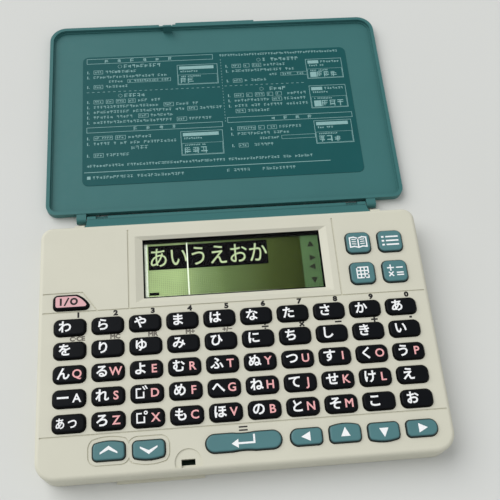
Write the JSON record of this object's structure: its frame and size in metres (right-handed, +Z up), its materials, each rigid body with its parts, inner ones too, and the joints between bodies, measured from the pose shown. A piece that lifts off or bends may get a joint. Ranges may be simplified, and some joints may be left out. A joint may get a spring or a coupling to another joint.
{
  "type": "electronic dictionary",
  "caption": "Pocket electronic dictionary: slim keyboard case with a display window and a flat lid that folds right round on a double-axis link hinge.",
  "frame": {"origin": "centre of the keyboard case's underside", "axes": "+Z up through the key tops, +Y from the keyboard towards the hinge, +X to the right of the keyboard"},
  "size_m": [0.122, 0.1684, 0.0103],
  "materials": {
    "case_plastic": "fine moulded texture, warm light grey",
    "lid_plastic": "fine moulded texture, blue-green",
    "label_print": "printed film, darker blue-green",
    "clear_plastic": "clear, polished",
    "black_plastic": "satin",
    "display_glass": "olive reflective display",
    "rubber": "matt silicone",
    "board": "green solder mask",
    "steel": "bright nickel plated",
    "component_metal": "satin",
    "spring_brass": "bright",
    "power_key_plastic": "satin",
    "teal_key_plastic": "satin",
    "black_key_plastic": "satin"
  },
  "bodies": {
    "case": {"bottom_case": "case_plastic", "top_case": "case_plastic", "battery_door": "case_plastic", "battery_door_screw": "steel", "case_screws": "steel", "screen_window": "clear_plastic", "lcd_frame": "black_plastic", "lcd_glass": "display_glass", "lcd_connectors": "rubber", "main_board": "board", "board_screws": "steel", "board_chips": "black_plastic", "board_components": "component_metal", "coin_cells": "steel", "battery_contacts_positive": "spring_brass", "battery_contacts_negative": "spring_brass", "key_mat": "rubber"},
    "link_bar": {"hinge_bar": "lid_plastic", "lid_hinge_pins": "steel", "base_hinge_pins": "steel"},
    "lid": {"lid": "lid_plastic", "lid_label": "label_print"},
    "power_key": {"power_key": "power_key_plastic"},
    "function_key_rear_left": {"function_key_rear_left": "teal_key_plastic"},
    "function_key_rear_right": {"function_key_rear_right": "teal_key_plastic"},
    "function_key_front_left": {"function_key_front_left": "teal_key_plastic"},
    "function_key_front_right": {"function_key_front_right": "teal_key_plastic"},
    "page_up_key": {"page_up_key": "teal_key_plastic"},
    "page_down_key": {"page_down_key": "teal_key_plastic"},
    "enter_key": {"enter_key": "teal_key_plastic"},
    "arrow_left_key": {"arrow_left_key": "teal_key_plastic"},
    "arrow_up_key": {"arrow_up_key": "teal_key_plastic"},
    "arrow_down_key": {"arrow_down_key": "teal_key_plastic"},
    "arrow_right_key": {"arrow_right_key": "teal_key_plastic"},
    "letter_keys_1a": {"letter_keys_1a": "black_key_plastic"},
    "letter_keys_1b": {"letter_keys_1b": "black_key_plastic"},
    "letter_keys_1c": {"letter_keys_1c": "black_key_plastic"},
    "letter_keys_1d": {"letter_keys_1d": "black_key_plastic"},
    "letter_keys_1e": {"letter_keys_1e": "black_key_plastic"},
    "letter_keys_2a": {"letter_keys_2a": "black_key_plastic"},
    "letter_keys_2b": {"letter_keys_2b": "black_key_plastic"},
    "letter_keys_2c": {"letter_keys_2c": "black_key_plastic"},
    "letter_keys_2d": {"letter_keys_2d": "black_key_plastic"},
    "letter_keys_2e": {"letter_keys_2e": "black_key_plastic"},
    "letter_keys_3a": {"letter_keys_3a": "black_key_plastic"},
    "letter_keys_3b": {"letter_keys_3b": "black_key_plastic"},
    "letter_keys_3c": {"letter_keys_3c": "black_key_plastic"},
    "letter_keys_3d": {"letter_keys_3d": "black_key_plastic"},
    "letter_keys_3e": {"letter_keys_3e": "black_key_plastic"},
    "letter_keys_4a": {"letter_keys_4a": "black_key_plastic"},
    "letter_keys_4b": {"letter_keys_4b": "black_key_plastic"},
    "letter_keys_4c": {"letter_keys_4c": "black_key_plastic"},
    "letter_keys_4d": {"letter_keys_4d": "black_key_plastic"},
    "letter_keys_4e": {"letter_keys_4e": "black_key_plastic"},
    "letter_keys_5a": {"letter_keys_5a": "black_key_plastic"},
    "letter_keys_5b": {"letter_keys_5b": "black_key_plastic"},
    "letter_keys_5c": {"letter_keys_5c": "black_key_plastic"},
    "letter_keys_5d": {"letter_keys_5d": "black_key_plastic"},
    "letter_keys_5e": {"letter_keys_5e": "black_key_plastic"}
  },
  "joints": [
    {"name": "bar_turn", "type": "hinge", "parent": "case", "child": "link_bar", "pos_m": [0, 0.041, 0.0048], "axis": [1, 0, 0], "range_deg": [-55.63, 124.37]},
    {"name": "lid_turn", "type": "hinge", "parent": "link_bar", "child": "lid", "pos_m": [0, 0.04612, 0.0013], "axis": [1, 0, 0], "range_deg": [-124.37, 55.63]},
    {"name": "power_key_press", "type": "slide", "parent": "case", "child": "power_key", "axis": [0, 0, -1], "range_m": [0, 0.0006], "stiffness_N_per_m": 500},
    {"name": "function_key_rear_left_press", "type": "slide", "parent": "case", "child": "function_key_rear_left", "axis": [0, 0, -1], "range_m": [0, 0.0006], "stiffness_N_per_m": 500},
    {"name": "function_key_rear_right_press", "type": "slide", "parent": "case", "child": "function_key_rear_right", "axis": [0, 0, -1], "range_m": [0, 0.0006], "stiffness_N_per_m": 500},
    {"name": "function_key_front_left_press", "type": "slide", "parent": "case", "child": "function_key_front_left", "axis": [0, 0, -1], "range_m": [0, 0.0006], "stiffness_N_per_m": 500},
    {"name": "function_key_front_right_press", "type": "slide", "parent": "case", "child": "function_key_front_right", "axis": [0, 0, -1], "range_m": [0, 0.0006], "stiffness_N_per_m": 500},
    {"name": "page_up_key_press", "type": "slide", "parent": "case", "child": "page_up_key", "axis": [0, 0, -1], "range_m": [0, 0.0006], "stiffness_N_per_m": 500},
    {"name": "page_down_key_press", "type": "slide", "parent": "case", "child": "page_down_key", "axis": [0, 0, -1], "range_m": [0, 0.0006], "stiffness_N_per_m": 500},
    {"name": "enter_key_press", "type": "slide", "parent": "case", "child": "enter_key", "axis": [0, 0, -1], "range_m": [0, 0.0006], "stiffness_N_per_m": 500},
    {"name": "arrow_left_key_press", "type": "slide", "parent": "case", "child": "arrow_left_key", "axis": [0, 0, -1], "range_m": [0, 0.0006], "stiffness_N_per_m": 500},
    {"name": "arrow_up_key_press", "type": "slide", "parent": "case", "child": "arrow_up_key", "axis": [0, 0, -1], "range_m": [0, 0.0006], "stiffness_N_per_m": 500},
    {"name": "arrow_down_key_press", "type": "slide", "parent": "case", "child": "arrow_down_key", "axis": [0, 0, -1], "range_m": [0, 0.0006], "stiffness_N_per_m": 500},
    {"name": "arrow_right_key_press", "type": "slide", "parent": "case", "child": "arrow_right_key", "axis": [0, 0, -1], "range_m": [0, 0.0006], "stiffness_N_per_m": 500},
    {"name": "letter_keys_1a_press", "type": "slide", "parent": "case", "child": "letter_keys_1a", "axis": [0, 0, -1], "range_m": [0, 0.0006], "stiffness_N_per_m": 400},
    {"name": "letter_keys_1b_press", "type": "slide", "parent": "case", "child": "letter_keys_1b", "axis": [0, 0, -1], "range_m": [0, 0.0006], "stiffness_N_per_m": 400},
    {"name": "letter_keys_1c_press", "type": "slide", "parent": "case", "child": "letter_keys_1c", "axis": [0, 0, -1], "range_m": [0, 0.0006], "stiffness_N_per_m": 400},
    {"name": "letter_keys_1d_press", "type": "slide", "parent": "case", "child": "letter_keys_1d", "axis": [0, 0, -1], "range_m": [0, 0.0006], "stiffness_N_per_m": 400},
    {"name": "letter_keys_1e_press", "type": "slide", "parent": "case", "child": "letter_keys_1e", "axis": [0, 0, -1], "range_m": [0, 0.0006], "stiffness_N_per_m": 400},
    {"name": "letter_keys_2a_press", "type": "slide", "parent": "case", "child": "letter_keys_2a", "axis": [0, 0, -1], "range_m": [0, 0.0006], "stiffness_N_per_m": 400},
    {"name": "letter_keys_2b_press", "type": "slide", "parent": "case", "child": "letter_keys_2b", "axis": [0, 0, -1], "range_m": [0, 0.0006], "stiffness_N_per_m": 400},
    {"name": "letter_keys_2c_press", "type": "slide", "parent": "case", "child": "letter_keys_2c", "axis": [0, 0, -1], "range_m": [0, 0.0006], "stiffness_N_per_m": 400},
    {"name": "letter_keys_2d_press", "type": "slide", "parent": "case", "child": "letter_keys_2d", "axis": [0, 0, -1], "range_m": [0, 0.0006], "stiffness_N_per_m": 400},
    {"name": "letter_keys_2e_press", "type": "slide", "parent": "case", "child": "letter_keys_2e", "axis": [0, 0, -1], "range_m": [0, 0.0006], "stiffness_N_per_m": 400},
    {"name": "letter_keys_3a_press", "type": "slide", "parent": "case", "child": "letter_keys_3a", "axis": [0, 0, -1], "range_m": [0, 0.0006], "stiffness_N_per_m": 400},
    {"name": "letter_keys_3b_press", "type": "slide", "parent": "case", "child": "letter_keys_3b", "axis": [0, 0, -1], "range_m": [0, 0.0006], "stiffness_N_per_m": 400},
    {"name": "letter_keys_3c_press", "type": "slide", "parent": "case", "child": "letter_keys_3c", "axis": [0, 0, -1], "range_m": [0, 0.0006], "stiffness_N_per_m": 400},
    {"name": "letter_keys_3d_press", "type": "slide", "parent": "case", "child": "letter_keys_3d", "axis": [0, 0, -1], "range_m": [0, 0.0006], "stiffness_N_per_m": 400},
    {"name": "letter_keys_3e_press", "type": "slide", "parent": "case", "child": "letter_keys_3e", "axis": [0, 0, -1], "range_m": [0, 0.0006], "stiffness_N_per_m": 400},
    {"name": "letter_keys_4a_press", "type": "slide", "parent": "case", "child": "letter_keys_4a", "axis": [0, 0, -1], "range_m": [0, 0.0006], "stiffness_N_per_m": 400},
    {"name": "letter_keys_4b_press", "type": "slide", "parent": "case", "child": "letter_keys_4b", "axis": [0, 0, -1], "range_m": [0, 0.0006], "stiffness_N_per_m": 400},
    {"name": "letter_keys_4c_press", "type": "slide", "parent": "case", "child": "letter_keys_4c", "axis": [0, 0, -1], "range_m": [0, 0.0006], "stiffness_N_per_m": 400},
    {"name": "letter_keys_4d_press", "type": "slide", "parent": "case", "child": "letter_keys_4d", "axis": [0, 0, -1], "range_m": [0, 0.0006], "stiffness_N_per_m": 400},
    {"name": "letter_keys_4e_press", "type": "slide", "parent": "case", "child": "letter_keys_4e", "axis": [0, 0, -1], "range_m": [0, 0.0006], "stiffness_N_per_m": 400},
    {"name": "letter_keys_5a_press", "type": "slide", "parent": "case", "child": "letter_keys_5a", "axis": [0, 0, -1], "range_m": [0, 0.0006], "stiffness_N_per_m": 400},
    {"name": "letter_keys_5b_press", "type": "slide", "parent": "case", "child": "letter_keys_5b", "axis": [0, 0, -1], "range_m": [0, 0.0006], "stiffness_N_per_m": 400},
    {"name": "letter_keys_5c_press", "type": "slide", "parent": "case", "child": "letter_keys_5c", "axis": [0, 0, -1], "range_m": [0, 0.0006], "stiffness_N_per_m": 400},
    {"name": "letter_keys_5d_press", "type": "slide", "parent": "case", "child": "letter_keys_5d", "axis": [0, 0, -1], "range_m": [0, 0.0006], "stiffness_N_per_m": 400},
    {"name": "letter_keys_5e_press", "type": "slide", "parent": "case", "child": "letter_keys_5e", "axis": [0, 0, -1], "range_m": [0, 0.0006], "stiffness_N_per_m": 400}
  ]
}
